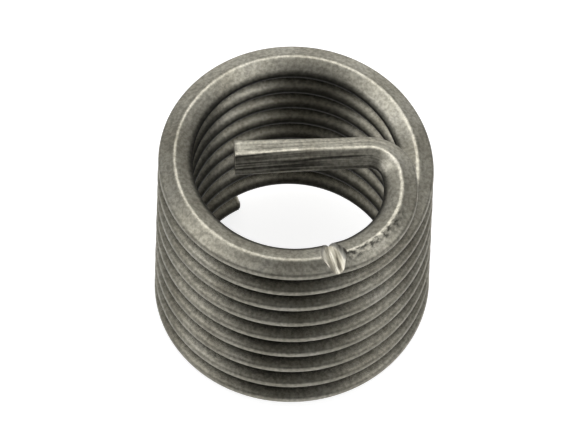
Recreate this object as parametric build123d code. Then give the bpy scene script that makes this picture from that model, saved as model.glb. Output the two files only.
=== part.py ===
from build123d import *

import os
from math import pi, radians, tan

# A helical thread insert: one length of hard stainless wire of rhombic section, wound
# right-handed into an open coil. Its outside screws into a tapped hole and its inside
# takes a bolt. One end of the wire is free. At the other the wire turns in across the
# bore as a driving tang, which breaks off at a notch once the insert is in place.
#
# The frame: the coil's axis is Z, the free end is at the bottom and the tang at the top,
# z = 0 is the lowest point of the wire. Sizes are in mm and degrees, for the insert as it
# is before it is screwed in, when the coil is wider than its hole.

# The wire's section
wire_depth = 1.81            # across the coil, from the inner crest to the outer one
wire_width = 1.34            # along the coil's axis, from ridge to ridge
flank_angle = 60.0           # between the two flanks that meet at a crest

# The coil
free_diameter = 14.80        # over the outer crests
ridge_diameter = 13.08       # at the ridges, the widest part of the wire
free_pitch = 1.66            # from one turn to the next
plain_turns = 8              # full turns below the tang's
free_end_angle = 120.0       # where the wire starts, round the axis from +X
arc_step = 90.0              # the full turns are made in arcs of this angle

# The tang: from the last turn the wire bends inwards in two tangent arcs, then runs
# straight. All of it keeps the coil's climb.
bend_start_angle = -49.5     # round the axis from +X
first_bend_radius = 3.92
first_bend_angle = 66.1
second_bend_radius = 1.67
second_bend_angle = 79.6
tang_length = 6.98           # of the straight part
tang_roll = 24.0             # how far the wire has rolled about itself at the tang's end

# The notch that the tang breaks off at
notch_angle = -70.3          # round the axis from +X
notch_depth = 0.80           # down from the upper ridge
notch_spread = 85.0          # between the notch's two faces

# Worked out from the dimensions above
outer_radius = free_diameter / 2
inner_radius = outer_radius - wire_depth
ridge_radius = ridge_diameter / 2
flank_slope = tan(radians(flank_angle / 2))
climb = free_pitch / (pi * ridge_diameter)          # rise of the wire per length of its way
last_turn_angle = (bend_start_angle - free_end_angle) % 360
shaving = 0.10               # how far the raw wire stands past each crest before it is trimmed


def wire_section(inner, outer):
    """The wire's section in the XZ plane, cut off square at an inner and an outer radius."""
    upper = [
        (inner, wire_width / 2 - flank_slope * (ridge_radius - inner)),
        (ridge_radius, wire_width / 2),
        (outer, wire_width / 2 - flank_slope * (outer - ridge_radius)),
    ]
    lower = [(radius, -height) for radius, height in reversed(upper)]
    return (Plane.XZ * Polygon(*upper, *lower, align=None)).face()


def wound(section, radius, angle):
    """The wire wound about Z with its ridges at a radius, from +X and z = 0."""
    pitch = 2 * pi * radius * climb
    helix = Helix(pitch, pitch * angle / 360, radius)
    return Solid.sweep(Pos(radius - ridge_radius, 0, 0) * section, helix, is_frenet=True)


def along(place, radius, angle):
    """The place that a wound arc ends at: its origin is on the arc's axis, its X meets the wire."""
    return place * Pos(0, 0, 2 * pi * radius * climb * angle / 360) * Rot(0, 0, angle)


def on_coil(angle):
    """The place on the coil at an angle past the wire's free end."""
    free_end = Pos(0, 0, wire_width / 2) * Rot(0, 0, free_end_angle)
    return along(free_end, ridge_radius, angle)


def plain_coil():
    """The full turns, whose crests are true cylinders, as a mating thread's are."""
    raw_section = wire_section(inner_radius - shaving, outer_radius + shaving)
    tube = Cylinder(outer_radius, 4 * wire_width) - Cylinder(inner_radius, 4 * wire_width)
    arc = (wound(raw_section, ridge_radius, arc_step) & tube).solid()
    arcs = round(plain_turns * 360 / arc_step)
    return [on_coil(step * arc_step) * arc for step in range(arcs)]


def notch_cutter():
    """A wedge that lies across the wire, with its edge below the upper ridge."""
    height = 2 * notch_depth
    half_mouth = height * tan(radians(notch_spread / 2))
    wedge = Polygon((0, 0), (half_mouth, height), (-half_mouth, height), align=None)
    wedge = extrude(Plane.XZ * wedge, wire_depth, both=True)
    angle = (notch_angle - free_end_angle) % 360 + plain_turns * 360
    floor = wire_width / 2 - notch_depth
    return on_coil(angle) * Pos(ridge_radius, 0, floor) * Rot(0, 0, 90) * wedge


def last_turn(section):
    """The part turn that leads to the tang, with the notch cut in its upper side."""
    coil = wound(section, ridge_radius, last_turn_angle)
    return (on_coil(plain_turns * 360) * coil - notch_cutter()).solid()


def tang(section):
    """The two arcs of the bend, then the straight tang, which rolls towards its inside."""
    bend_start = on_coil(plain_turns * 360 + last_turn_angle)
    first_place = bend_start * Pos(ridge_radius - first_bend_radius, 0, 0)
    first_arc = first_place * wound(section, first_bend_radius, first_bend_angle)

    first_end = along(first_place, first_bend_radius, first_bend_angle)
    second_place = first_end * Pos(first_bend_radius - second_bend_radius, 0, 0)
    second_arc = second_place * wound(section, second_bend_radius, second_bend_angle)

    second_end = along(second_place, second_bend_radius, second_bend_angle)
    wire_middle = second_end * Pos(second_bend_radius, 0, 0)
    centred = Pos(-ridge_radius, 0, 0) * section
    tip = wire_middle * Pos(0, tang_length, tang_length * climb) * Rot(0, -tang_roll, 0)
    ends = [(wire_middle * centred).outer_wire(), (tip * centred).outer_wire()]
    straight = Solid.make_loft(ends, ruled=True)
    return [first_arc, second_arc, straight]


section = wire_section(inner_radius, outer_radius)
pieces = [*plain_coil(), last_turn(section), *tang(section)]
thread_insert = pieces[0].fuse(*pieces[1:])
thread_insert.label = "thread_insert"

os.makedirs("parts", exist_ok=True)
export_step(thread_insert, "parts/thread_insert.step")
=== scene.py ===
from math import cos, pi, radians, sin, tan

import bmesh
import bpy
import numpy as np
from mathutils import Matrix, Vector


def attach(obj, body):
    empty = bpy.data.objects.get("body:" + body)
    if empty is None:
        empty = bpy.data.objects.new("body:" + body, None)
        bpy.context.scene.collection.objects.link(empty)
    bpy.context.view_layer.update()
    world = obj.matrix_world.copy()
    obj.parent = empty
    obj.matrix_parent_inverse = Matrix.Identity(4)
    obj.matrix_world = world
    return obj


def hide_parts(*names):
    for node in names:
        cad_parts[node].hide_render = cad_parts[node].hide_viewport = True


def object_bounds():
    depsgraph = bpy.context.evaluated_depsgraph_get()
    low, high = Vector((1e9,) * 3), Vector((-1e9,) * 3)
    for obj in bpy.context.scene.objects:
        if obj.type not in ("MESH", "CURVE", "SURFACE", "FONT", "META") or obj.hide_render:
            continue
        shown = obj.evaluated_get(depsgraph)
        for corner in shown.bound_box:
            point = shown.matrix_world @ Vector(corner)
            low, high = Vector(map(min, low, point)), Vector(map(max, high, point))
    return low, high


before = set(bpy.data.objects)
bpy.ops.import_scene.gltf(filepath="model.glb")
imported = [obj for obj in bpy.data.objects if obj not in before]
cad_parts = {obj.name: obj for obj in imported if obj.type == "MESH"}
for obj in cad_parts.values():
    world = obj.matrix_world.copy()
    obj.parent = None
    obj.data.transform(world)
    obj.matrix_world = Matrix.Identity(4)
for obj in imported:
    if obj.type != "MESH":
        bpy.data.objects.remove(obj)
cad_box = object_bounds()

# A helical thread insert, standing on its free end with the tang up. Lengths are in mm
# and are turned into the frame's metres by MM. Angles are in degrees round Z from +X.
MM = 0.001

# The wire's section: across the coil from the ridge, and along the coil's axis
INNER_DEPTH = 0.95           # from the ridge in to the inner crest
OUTER_DEPTH = 0.86           # from the ridge out to the outer crest
WIRE_WIDTH = 1.34            # over the ridges, before they are rounded
FLANK_SLOPE = tan(radians(30))
RIDGE_RADIUS = 0.36          # rounding of the ridges
INNER_CREST_RADIUS = 0.18    # rounding of the crests' corners
OUTER_CREST_RADIUS = 0.22
INNER_SWELL = 0.030          # how far the inner flanks swell, where winding squeezed the wire
OUTER_SWELL = -0.015         # and the outer ones, where it stretched it

# The coil and the tang, as in the frame
COIL_RADIUS = 6.54           # at the ridges
PITCH = 1.66
PLAIN_TURNS = 8
FREE_END_ANGLE = 120.0
BEND_START_ANGLE = -49.5
FIRST_BEND = (3.92, 66.1)    # radius, angle
SECOND_BEND = (1.67, 79.6)
TANG_LENGTH = 6.98
TANG_ROLL = 24.0
CLIMB = PITCH / (2 * pi * COIL_RADIUS)
COIL_ANGLE = (BEND_START_ANGLE - FREE_END_ANGLE) % 360 + PLAIN_TURNS * 360
BEND_LENGTH = sum(radius * radians(angle) for radius, angle in (FIRST_BEND, SECOND_BEND))

# The notch, and how far the wire has sprung out beyond it
NOTCH_ANGLE = -70.3
NOTCH_DEPTH = 0.80
NOTCH_SPREAD = 85.0
SPRING_OUT = 0.11
NOTCH_PLACE = TANG_LENGTH + BEND_LENGTH + COIL_RADIUS * radians(BEND_START_ANGLE - NOTCH_ANGLE)
NOTCH_REACH = 1.6            # how far the notch's cutter reaches in and out from the ridge

# How far the real coil strays from the true helix
INSET = 0.02                 # how much less the coil's radius is all over
TAPER = 0.09                 # and how much less again at the top
WAVER_OUT = 0.012            # how far the turns waver outwards
WAVER_UP = 0.016             # and upwards
SLOW_WAVER_UP = 0.010        # and upwards over several turns
SPRING_ANGLE = 14            # degrees in which the wire springs out past the notch
SETTLE_ANGLE = 60            # last degrees of the coil, in which the wavers upwards die out

# The rounded rims of the wire's two ends
FREE_END_ROUNDING = 0.28
TANG_END_ROUNDING = 0.04
RIM_REACH = 0.6              # from the section's middle to its rim, near enough
RIM_TURNS = (0, 30, 60, 90)  # degrees round the rim, from the wire's side to its end

# How finely the wire is made
COIL_STEP = 2.5              # degrees between its sections in the coil
BEND_STEP = 3.0              # and in the bends
TANG_STEPS = 28
CORNER_STEPS = 5
SIDE_STEPS = 5
SHARP_ANGLE = 32             # degrees past which an edge is shaded sharp

# The studio: lengths in metres, brightness 1 is white
LOW, HIGH = cad_box
MIDDLE = (Vector(LOW) + Vector(HIGH)) / 2
STUDIO_RADIUS = 0.30
WHITE = (1, 1, 1, 1)
PLAIN_LIGHT = (0.55, 0.55, 0.55, 1)      # the even light on what doesn't mirror the room
FLOOR_GLOW = 0.82            # how far the floor is lifted to white where it is looked at
WALL_TOP = 24                # elevation at which the white paper ends
ROOM_BACK = 0.22             # brightness of the room above it
ROOM_FRONT = 0.0             # and of the room on the camera's side
ROOM_TURN = 25               # how far its brightest side is turned round Z from +Y
CEILING = (90, 75)           # azimuth and elevation of the ceiling's brightest place
SOFTBOXES = (                # azimuth, elevation, width, height, brightness
    ("left_softbox", 194, 46, 0.17, 0.26, 1.3),
    ("right_softbox", -31, 46, 0.16, 0.22, 1.2),
    ("top_softbox", 90, 75, 0.30, 0.12, 1.9),
    ("high_softbox", 92, 58, 0.18, 0.06, 2.0),
    ("back_softbox", 90, 26, 0.22, 0.10, 0.5),
)

# The camera
CAMERA_AZIMUTH = 270
CAMERA_ELEVATION = 60.65
CAMERA_DISTANCE = 82 * 7.4 * MM
CAMERA_ROLL = 2.1
SENSOR_WIDTH = 36
LENS = 697


# ---- The wire's mesh -------------------------------------------------------------------

def corner_arc(before, corner, after, radius):
    """The points of a rounded corner between two sides."""
    back, on = (before - corner).normalized(), (after - corner).normalized()
    half = back.angle(on) / 2
    centre = corner + (back + on).normalized() * radius / sin(half)
    start = corner + back * radius / tan(half) - centre
    turn = (pi - 2 * half) * (1 if back.cross(on) < 0 else -1)
    return [centre + Matrix.Rotation(turn * step / CORNER_STEPS, 2) @ start
            for step in range(CORNER_STEPS + 1)]


def swollen_side(start, end, swell):
    """The points between a side's ends, swollen outwards in the middle by a small height."""
    along = end - start
    outward = Vector((along.y, -along.x)).normalized()
    parts = [step / SIDE_STEPS for step in range(1, SIDE_STEPS)]
    return [start + along * part + outward * swell * 4 * part * (1 - part) for part in parts]


def wire_section():
    """The rhombic section as (across, along the axis) points, from its ridge line.

    Winding swells the wire's inner flanks and thins its outer ones.
    """
    inner = WIRE_WIDTH / 2 - FLANK_SLOPE * INNER_DEPTH
    outer = WIRE_WIDTH / 2 - FLANK_SLOPE * OUTER_DEPTH
    lower = [((-INNER_DEPTH, -inner), INNER_CREST_RADIUS, INNER_SWELL),
             ((0, -WIRE_WIDTH / 2), RIDGE_RADIUS, OUTER_SWELL),
             ((OUTER_DEPTH, -outer), OUTER_CREST_RADIUS, 0)]
    upper = [((OUTER_DEPTH, outer), OUTER_CREST_RADIUS, OUTER_SWELL),
             ((0, WIRE_WIDTH / 2), RIDGE_RADIUS, INNER_SWELL),
             ((-INNER_DEPTH, inner), INNER_CREST_RADIUS, 0)]
    corners = [(Vector(corner), radius, swell) for corner, radius, swell in lower + upper]
    arcs = []
    for i, (corner, radius, _) in enumerate(corners):
        arcs.append(corner_arc(corners[i - 1][0], corner, corners[(i + 1) % 6][0], radius))
    outline = []
    for i, (_, _, swell) in enumerate(corners):
        outline += arcs[i]
        if swell:
            outline += swollen_side(arcs[i][-1], arcs[(i + 1) % 6][0], swell)
    return np.array(outline)


def smooth_step(value):
    """0 up to 0, 1 from 1 on, and a smooth rise between."""
    value = min(max(value, 0.0), 1.0)
    return value * value * (3 - 2 * value)


def coil_offsets(angle):
    """How far the real coil strays from a true helix: outwards and upwards."""
    turn = radians(angle)
    out = -INSET - TAPER * angle / COIL_ANGLE
    out += WAVER_OUT * sin(1.7 * turn + 0.6) * sin(0.31 * turn)
    up = WAVER_UP * sin(0.83 * turn + 1.1) + SLOW_WAVER_UP * sin(0.37 * turn)
    past_notch = angle - (COIL_ANGLE - (BEND_START_ANGLE - NOTCH_ANGLE))
    out += SPRING_OUT * smooth_step(past_notch / SPRING_ANGLE + 0.1)
    return out, up * smooth_step((COIL_ANGLE - angle) / SETTLE_ANGLE)


def wire_path():
    """Places along the wire: the ridge line's point, its outward direction and its roll."""
    free_end = Vector((0, 0, WIRE_WIDTH / 2))
    places = []
    steps = round(COIL_ANGLE / COIL_STEP)
    for angle in np.linspace(0, COIL_ANGLE, steps + 1):
        out, up = coil_offsets(angle)
        outward = Vector((cos(radians(FREE_END_ANGLE + angle)),
                          sin(radians(FREE_END_ANGLE + angle)), 0))
        rise = Vector((0, 0, PITCH * angle / 360 + up))
        places.append((free_end + rise + outward * (COIL_RADIUS + out), outward, 0.0))

    point, outward, _ = places[-1]
    for radius, bend_angle in (FIRST_BEND, SECOND_BEND):
        centre = point - outward * radius
        steps = round(bend_angle / BEND_STEP)
        for angle in np.linspace(0, radians(bend_angle), steps + 1)[1:]:
            turned = Matrix.Rotation(angle, 3, "Z") @ outward
            rise = Vector((0, 0, CLIMB * radius * angle))
            places.append((centre + turned * radius + rise, turned, 0.0))
        point, outward, _ = places[-1]

    forward = Vector((-outward.y, outward.x, CLIMB))
    for part in np.linspace(0, 1, TANG_STEPS + 1)[1:]:
        places.append((point + forward * TANG_LENGTH * part, outward, TANG_ROLL * part ** 2))
    return places


def wire_direction(outward):
    """The unit vector along the wire, towards the tang, from its outward direction."""
    return Vector((-outward.y, outward.x, CLIMB)).normalized()


def ring(place, section, scale=1.0):
    """The section's points, set across the wire at a place."""
    point, outward, roll = place
    turn = Matrix.Rotation(-radians(roll), 3, wire_direction(outward))
    across, up = turn @ outward, turn @ Vector((0, 0, 1))
    return [point + (across * u + up * v) * scale for u, v in section]


def end_rings(place, section, way, rounding):
    """An end's rounded rim: rings that shrink as they near the end."""
    point, outward, roll = place
    forward = wire_direction(outward) * way
    rings = []
    for turn in RIM_TURNS[::way]:
        inset = rounding * (1 - cos(radians(turn)))
        at = point - forward * rounding * (1 - sin(radians(turn)))
        rings.append(ring((at, outward, roll), section, 1 - inset / RIM_REACH))
    return rings


def wire_rings(section):
    """The rings along the wire, and each one's length back from the tang's end.

    All the rings of an end share one length.
    """
    places = wire_path()
    rings = end_rings(places[0], section, -1, FREE_END_ROUNDING)
    lengths = [0.0] * len(rings)
    length = 0.0
    for last, place in zip(places, places[1:-1]):
        length += (place[0] - last[0]).length
        rings.append(ring(place, section))
        lengths.append(length)
    tip = end_rings(places[-1], section, 1, TANG_END_ROUNDING)
    rings += tip
    lengths += [length] * len(tip)
    return rings, [length - along for along in lengths]


def wire_mesh():
    """The whole wire as one closed tube.

    It has two UV maps in mm: "wire" is round the wire and back along it from the tang's end,
    and "section" is the place in its section, across and along the coil's axis.
    """
    section = wire_section()
    count = len(section)
    girth = np.linalg.norm(np.roll(section, -1, axis=0) - section, axis=1)
    round_wire = np.concatenate([[0.0], np.cumsum(girth)])
    rings, lengths = wire_rings(section)

    faces, on_wire, in_section = [], [], []
    for i in range(len(rings) - 1):
        near, far = i * count, (i + 1) * count
        for j in range(count):
            k = (j + 1) % count
            faces.append((near + j, near + k, far + k, far + j))
            left, right = round_wire[j], round_wire[j + 1]
            on_wire += [(left, lengths[i]), (right, lengths[i]),
                        (right, lengths[i + 1]), (left, lengths[i + 1])]
            here, beside = tuple(section[j]), tuple(section[k])
            in_section += [here, beside, beside, here]
    top = (len(rings) - 1) * count
    faces += [tuple(reversed(range(count))), tuple(range(top, top + count))]
    ends = [tuple(section[j]) for j in reversed(range(count))] + [tuple(p) for p in section]

    mesh = bpy.data.meshes.new("wire_coil")
    mesh.from_pydata([tuple(p * MM) for points in rings for p in points], [], faces)
    for name, values in (("wire", on_wire + ends), ("section", in_section + ends)):
        layer = mesh.uv_layers.new(name=name)
        layer.data.foreach_set("uv", np.array(values).ravel())
    return mesh


def notch_cutter():
    """A wedge that lies across the wire, with its edge below the upper ridge."""
    height = 2 * NOTCH_DEPTH
    half_mouth = height * tan(radians(NOTCH_SPREAD / 2))
    angle = (NOTCH_ANGLE - FREE_END_ANGLE) % 360 + PLAIN_TURNS * 360
    floor = WIRE_WIDTH + PITCH * angle / 360 - NOTCH_DEPTH
    direction = radians(NOTCH_ANGLE)
    outward = Vector((cos(direction), sin(direction), 0))
    along = Vector((-sin(direction), cos(direction), CLIMB))
    points = []
    for reach in (-NOTCH_REACH, NOTCH_REACH):
        middle = outward * (COIL_RADIUS + reach) + Vector((0, 0, floor))
        points += [middle, middle + along * half_mouth + Vector((0, 0, height)),
                   middle - along * half_mouth + Vector((0, 0, height))]
    mesh = bpy.data.meshes.new("notch")
    mesh.from_pydata([tuple(p * MM) for p in points], [],
                     [(0, 1, 2), (3, 5, 4), (0, 3, 4, 1), (1, 4, 5, 2), (2, 5, 3, 0)])
    edit = bmesh.new()
    edit.from_mesh(mesh)
    bmesh.ops.recalc_face_normals(edit, faces=edit.faces)
    edit.to_mesh(mesh)
    edit.free()
    return mesh


def make_wire():
    """The wire with its notch cut, which leaves bright faces of its own."""
    wire = bpy.data.objects.new("wire_coil", wire_mesh())
    cutter = bpy.data.objects.new("notch", notch_cutter())
    wire.data.materials.append(steel_material())
    cutter.data.materials.append(cut_material())
    for item in (wire, cutter):
        bpy.context.scene.collection.objects.link(item)
    cut = wire.modifiers.new("notch", "BOOLEAN")
    cut.operation = "DIFFERENCE"
    cut.solver = "EXACT"
    cut.object = cutter
    cut.material_mode = "TRANSFER"
    evaluated = wire.evaluated_get(bpy.context.evaluated_depsgraph_get())
    mesh = bpy.data.meshes.new_from_object(evaluated)
    wire.modifiers.clear()
    wire.data = mesh
    bpy.data.objects.remove(cutter)
    mesh.polygons.foreach_set("use_smooth", [True] * len(mesh.polygons))
    mesh.set_sharp_from_angle(angle=radians(SHARP_ANGLE))
    weighted = wire.modifiers.new("weighted", "WEIGHTED_NORMAL")
    weighted.keep_sharp = True
    return wire


# ---- Materials -------------------------------------------------------------------------

def node_material(name):
    """An empty node material: itself, its node tree and its output node."""
    material = bpy.data.materials.new(name)
    material.use_nodes = True
    tree = material.node_tree
    tree.nodes.clear()
    output = tree.nodes.new("ShaderNodeOutputMaterial")
    return material, tree, output


def add_node(tree, kind, inputs=(), **settings):
    """A node with its settings made; inputs is (name, value) pairs, set or linked."""
    node = tree.nodes.new(kind)
    for key, value in settings.items():
        setattr(node, key, value)
    for name, value in inputs:
        if isinstance(value, bpy.types.NodeSocket):
            tree.links.new(value, node.inputs[name])
        else:
            node.inputs[name].default_value = value
    return node


def ramp(tree, factor, stops):
    """A colour ramp whose stops are (position, grey or colour)."""
    node = add_node(tree, "ShaderNodeValToRGB", [("Fac", factor)])
    elements = node.color_ramp.elements
    while len(elements) < len(stops):
        elements.new(0.5)
    for element, (position, colour) in zip(elements, stops):
        if not isinstance(colour, tuple):
            colour = (colour, colour, colour)
        element.position, element.color = position, (*colour, 1.0)
    return node.outputs["Color"]


def blended(tree, kind, first, second):
    """Two colours blended in full: kind is MULTIPLY, or LIGHTEN for the lighter of them."""
    node = add_node(tree, "ShaderNodeMix", [("Factor", 1.0), ("A", first), ("B", second)],
                    data_type="RGBA", blend_type=kind)
    return node.outputs["Result"]


def multiplied(tree, *colours):
    """The product of several colours."""
    result = colours[0]
    for colour in colours[1:]:
        result = blended(tree, "MULTIPLY", result, colour)
    return result


def mixed(tree, factor, first, second):
    """The first colour where the factor is 0 and the second where it is 1."""
    node = add_node(tree, "ShaderNodeMix", [("Factor", factor), ("A", first), ("B", second)],
                    data_type="RGBA")
    return node.outputs["Result"]


def noise(tree, where, scale, detail, roughness=0.5):
    """Noise at a scale given as one number or, for stretched noise, as three."""
    if isinstance(scale, tuple):
        stretched = add_node(tree, "ShaderNodeMapping", [("Vector", where), ("Scale", scale)])
        where = stretched.outputs[0]
        scale = 1.0
    node = add_node(tree, "ShaderNodeTexNoise", [("Vector", where), ("Scale", scale),
                                                 ("Detail", detail), ("Roughness", roughness)])
    return node.outputs["Fac"]


def between(tree, value, low, high):
    """0 below low, 1 above high and a slope between them."""
    node = add_node(tree, "ShaderNodeMapRange", [("Value", value), ("From Min", low),
                                                 ("From Max", high)])
    return node.outputs[0]


def larger(tree, first, second):
    """The larger of two values."""
    node = add_node(tree, "ShaderNodeMath", [(0, first), (1, second)], operation="MAXIMUM")
    return node.outputs[0]


def split(tree, vector):
    """A vector's three values, by the names X, Y and Z."""
    return add_node(tree, "ShaderNodeSeparateXYZ", [(0, vector)]).outputs


def painted_valley_shade(tree, depth, outer_side):
    """Painted shade in the valleys, by how open a spot is, painted light on the open flanks, and
    painted shade on the crests.
    """
    # Painted shade and light: occlusion darkens the valleys and lightens the open flanks.
    node = add_node(tree, "ShaderNodeAmbientOcclusion", [("Distance", 0.0016)], samples=8)
    openness = node.outputs["AO"]
    inner = ramp(tree, openness, [(0.53, 0.01), (0.57, 0.25), (0.62, 0.95), (0.70, 1.35),
                                  (0.85, 1.30), (0.95, 0.93)])
    outer = ramp(tree, openness, [(0.58, 0.0), (0.63, 0.12), (0.69, 0.72), (0.77, 1.2),
                                  (0.95, 1.0)])
    # Painted shade on the outer crests, which dims what they mirror.
    crest_shade = ramp(tree, depth, [(0.42, 1.0), (0.52, 1.0), (0.62, 0.84), (0.92, 0.95),
                                  (0.97, 0.60)])
    return multiplied(tree, mixed(tree, outer_side, inner, outer), crest_shade)


def crest_shade_and_tang_streaks(tree, on_wire, depth, outer_side):
    """Painted shade on the coil's inner crest, and long streaks on the tang in its place, with
    painted shade on the tang's inner side and painted light on its outer side.
    """
    # Painted shade: the inner crest is darkened where it would mirror the floor.
    inner_crest_shade = ramp(tree, depth, [(0.0, 0.06), (0.08, 0.30), (0.16, 1.0)])
    streaks = noise(tree, on_wire, (7, 0.22, 1), 3)
    # Streaks on the tang, with painted shade on its inner side and painted light on its outer
    # side.
    inner = ramp(tree, streaks, [(0.38, 0.15), (0.50, 0.55), (0.66, 1.1)])
    outer = ramp(tree, streaks, [(0.38, 0.90), (0.50, 1.30), (0.66, 1.5)])
    along = split(tree, on_wire)["Y"]
    on_tang = between(tree, along, TANG_LENGTH + 2, TANG_LENGTH - 1)
    return mixed(tree, on_tang, inner_crest_shade, mixed(tree, outer_side, inner, outer))


def bruise_tone(tree, on_wire, depth):
    """Dents past the notch, on the outer side of the ridges."""
    dents = ramp(tree, noise(tree, on_wire, (5, 3.5, 1), 2),
                 [(0.38, 0.20), (0.47, 0.70), (0.56, 1.0), (0.66, 1.4)])
    along = split(tree, on_wire)["Y"]
    past_notch = between(tree, along, NOTCH_PLACE, NOTCH_PLACE - 0.6)
    near_notch = between(tree, along, NOTCH_PLACE - 5.5, NOTCH_PLACE - 4)
    by_ridge = ramp(tree, depth, [(0.51, 0.0), (0.56, 1.0), (0.72, 0.9), (0.80, 0.2)])
    dented = multiplied(tree, past_notch, near_notch, by_ridge)
    return mixed(tree, dented, WHITE, dents)


def steel_material():
    """Satin drawn wire, which mirrors widely across itself, with painted shade in its valleys.

    Depth is 0 at the inner crest, 0.525 at the ridge and 1 at the outer crest. The ramps were
    fitted to one view under one light, so they may hold some of that view's shade.
    """
    material, tree, output = node_material("drawn_steel")
    in_space = add_node(tree, "ShaderNodeTexCoord").outputs["Object"]
    on_wire = add_node(tree, "ShaderNodeUVMap", uv_map="wire").outputs[0]
    in_section = add_node(tree, "ShaderNodeUVMap", uv_map="section").outputs[0]
    depth = between(tree, split(tree, in_section)["X"], -INNER_DEPTH, OUTER_DEPTH)
    outer_side = between(tree, depth, 0.48, 0.56)

    grain = noise(tree, in_space, 5200, 3, 0.6)
    patches = noise(tree, in_space, 420, 3)
    tone = ramp(tree, patches, [(0.30, (0.33, 0.31, 0.25)), (0.55, (0.44, 0.42, 0.35)),
                                (0.8, (0.50, 0.48, 0.42))])
    speckle = ramp(tree, grain, [(0.36, 0.72), (0.50, 0.96), (0.64, 1.22)])
    # The colour holds painted shade in the valleys and on the crests, and painted light on the
    # open flanks and on the tang's outer side.
    colour = multiplied(tree, tone, speckle, painted_valley_shade(tree, depth, outer_side),
                        crest_shade_and_tang_streaks(tree, on_wire, depth, outer_side),
                        bruise_tone(tree, on_wire, depth))
    roughness = ramp(tree, depth, [(0.42, 0.39), (0.49, 0.28), (0.56, 0.28), (0.64, 0.41)])

    lines = noise(tree, on_wire, (9, 0.35, 1), 4)
    heights = add_node(tree, "ShaderNodeMath", [(0, lines), (1, 0.35), (2, grain)],
                       operation="MULTIPLY_ADD")
    bump = add_node(tree, "ShaderNodeBump", [("Height", heights.outputs[0]), ("Strength", 0.16),
                                             ("Distance", 0.00004)])
    round_wire = add_node(tree, "ShaderNodeTangent", direction_type="UV_MAP", uv_map="wire")
    shader = add_node(tree, "ShaderNodeBsdfPrincipled",
                      [("Base Color", colour), ("Roughness", roughness), ("Metallic", 1.0),
                       ("Anisotropic", 0.8), ("Tangent", round_wire.outputs[0]),
                       ("Normal", bump.outputs[0])])
    tree.links.new(shader.outputs[0], output.inputs["Surface"])
    return material


def cut_material():
    """The notch's freshly cut steel: brighter, with tool marks down each face."""
    material, tree, output = node_material("cut_steel")
    in_space = add_node(tree, "ShaderNodeTexCoord").outputs["Object"]
    turned = add_node(tree, "ShaderNodeMapping", [("Vector", in_space),
                                                  ("Rotation", (0, 0, radians(-NOTCH_ANGLE)))])
    marks = noise(tree, turned.outputs[0], (700, 4200, 900), 2)
    colour = ramp(tree, marks, [(0.36, (0.14, 0.13, 0.11)), (0.46, (0.50, 0.48, 0.42)),
                                (0.62, (0.80, 0.78, 0.72))])
    bump = add_node(tree, "ShaderNodeBump", [("Height", marks), ("Strength", 0.8),
                                             ("Distance", 0.00008)])
    shader = add_node(tree, "ShaderNodeBsdfPrincipled",
                      [("Base Color", colour), ("Roughness", 0.28), ("Metallic", 1.0),
                       ("Normal", bump.outputs[0])])
    tree.links.new(shader.outputs[0], output.inputs["Surface"])
    return material


def seen_directly(tree):
    """1 for camera, glossy and transmission rays, 0 for the rays that light the object."""
    path = add_node(tree, "ShaderNodeLightPath").outputs
    mirrored = larger(tree, path["Is Glossy Ray"], path["Is Transmission Ray"])
    return larger(tree, path["Is Camera Ray"], mirrored)


def floor_material():
    """White paper: plain in itself, and seen as white with the object's shadow kept."""
    material, tree, output = node_material("white_paper")
    lift = add_node(tree, "ShaderNodeMath", [(0, seen_directly(tree)), (1, FLOOR_GLOW)],
                    operation="MULTIPLY")
    fibre = add_node(tree, "ShaderNodeTexNoise", [("Scale", 900), ("Detail", 2)])
    paper = ramp(tree, fibre.outputs["Fac"], [(0.3, 0.49), (0.7, 0.51)])
    diffuse = add_node(tree, "ShaderNodeBsdfDiffuse", [("Color", paper)])
    glow = add_node(tree, "ShaderNodeEmission", [("Strength", lift.outputs[0])])
    both = add_node(tree, "ShaderNodeAddShader", [(0, diffuse.outputs[0]), (1, glow.outputs[0])])
    tree.links.new(both.outputs[0], output.inputs["Surface"])
    return material


# ---- The studio ------------------------------------------------------------------------

def direction(azimuth, elevation):
    """The unit vector to a place in the studio: azimuth is round Z from +X."""
    a, e = radians(azimuth), radians(elevation)
    return Vector((cos(a) * cos(e), sin(a) * cos(e), sin(e)))


def facing(point, target):
    """The rotation that turns a lamp's or card's -Z from a point to a target."""
    return (target - point).to_track_quat("-Z", "Y").to_euler()


def softbox(name, azimuth, elevation, width, height, brightness):
    """A rectangular lamp at STUDIO_RADIUS, turned to the object, whose face is that bright."""
    lamp = bpy.data.lights.new(name, "AREA")
    lamp.shape = "RECTANGLE"
    lamp.size = width
    lamp.size_y = height
    lamp.energy = brightness * pi * width * height
    item = bpy.data.objects.new(name, lamp)
    item.location = MIDDLE + direction(azimuth, elevation) * STUDIO_RADIUS
    item.rotation_euler = facing(item.location, MIDDLE)
    bpy.context.scene.collection.objects.link(item)


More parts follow.
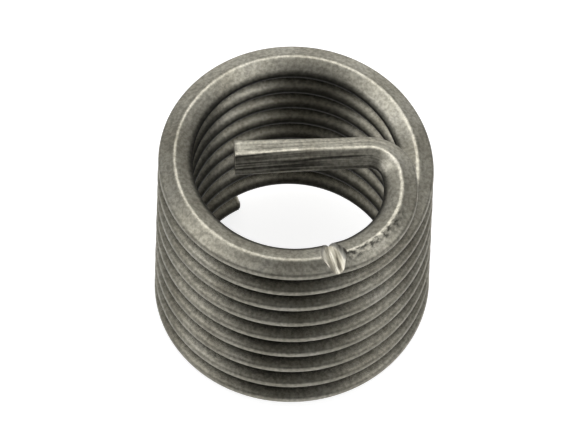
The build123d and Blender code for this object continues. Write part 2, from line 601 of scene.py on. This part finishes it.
def room_colour(tree):
    """What the wire mirrors: white paper behind and below WALL_TOP, and a dim room above."""
    way = add_node(tree, "ShaderNodeTexCoord").outputs["Generated"]
    parts = split(tree, way)
    below_top = ramp(tree, parts["Z"], [(0.03, 1.0), (sin(radians(WALL_TOP)), 0.0)])
    behind = ramp(tree, parts["Y"], [(0.45, 0.40), (0.70, 0.45), (0.92, 1.0)])
    paper = multiplied(tree, below_top, behind)

    turned = add_node(tree, "ShaderNodeMapping", [("Vector", way),
                                                  ("Rotation", (0, 0, radians(-ROOM_TURN)))])
    backwards = between(tree, split(tree, turned.outputs[0])["Y"], -1.0, 1.0)
    sides = ramp(tree, backwards, [(0.3, ROOM_FRONT), (0.8, ROOM_BACK)])
    upwards = add_node(tree, "ShaderNodeVectorMath", [(0, way), (1, direction(*CEILING))],
                       operation="DOT_PRODUCT")
    ceiling = ramp(tree, upwards.outputs["Value"],
                   [(0.60, 0.0), (0.70, 0.06), (0.85, 0.18), (0.95, 0.40)])
    return blended(tree, "LIGHTEN", paper, blended(tree, "LIGHTEN", sides, ceiling))


def make_world():
    """A room that is white to the camera, dim where mirrored and even as light."""
    world = bpy.data.worlds.new("white_room")
    bpy.context.scene.world = world
    world.use_nodes = True
    tree = world.node_tree
    tree.nodes.clear()
    output = tree.nodes.new("ShaderNodeOutputWorld")
    path = add_node(tree, "ShaderNodeLightPath").outputs
    mirrored = larger(tree, path["Is Glossy Ray"], path["Is Transmission Ray"])
    lighting = mixed(tree, mirrored, PLAIN_LIGHT, room_colour(tree))
    seen = mixed(tree, path["Is Camera Ray"], lighting, WHITE)
    background = add_node(tree, "ShaderNodeBackground", [("Color", seen)])
    tree.links.new(background.outputs[0], output.inputs["Surface"])


def make_floor():
    size = 40 * STUDIO_RADIUS
    corners = [(-size, -size, 0), (size, -size, 0), (size, size, 0), (-size, size, 0)]
    mesh = bpy.data.meshes.new("floor")
    mesh.from_pydata(corners, [], [(0, 1, 2, 3)])
    mesh.materials.append(floor_material())
    floor = bpy.data.objects.new("floor", mesh)
    bpy.context.scene.collection.objects.link(floor)


def make_camera():
    """A long lens from the front, high above, turned slightly about its own axis."""
    data = bpy.data.cameras.new("camera")
    data.sensor_width = SENSOR_WIDTH
    data.lens = LENS
    data.clip_start = 0.01
    data.clip_end = 100
    camera = bpy.data.objects.new("camera", data)
    camera.location = MIDDLE + direction(CAMERA_AZIMUTH, CAMERA_ELEVATION) * CAMERA_DISTANCE
    look = facing(camera.location, MIDDLE).to_matrix()
    camera.rotation_euler = (look @ Matrix.Rotation(radians(CAMERA_ROLL), 3, "Z")).to_euler()
    bpy.context.scene.collection.objects.link(camera)
    bpy.context.scene.camera = camera


wire = make_wire()
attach(wire, "root")
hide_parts("thread_insert")

make_world()
make_floor()
make_camera()
for settings in SOFTBOXES:
    softbox(*settings)

scene = bpy.context.scene
scene.view_settings.view_transform = "Standard"
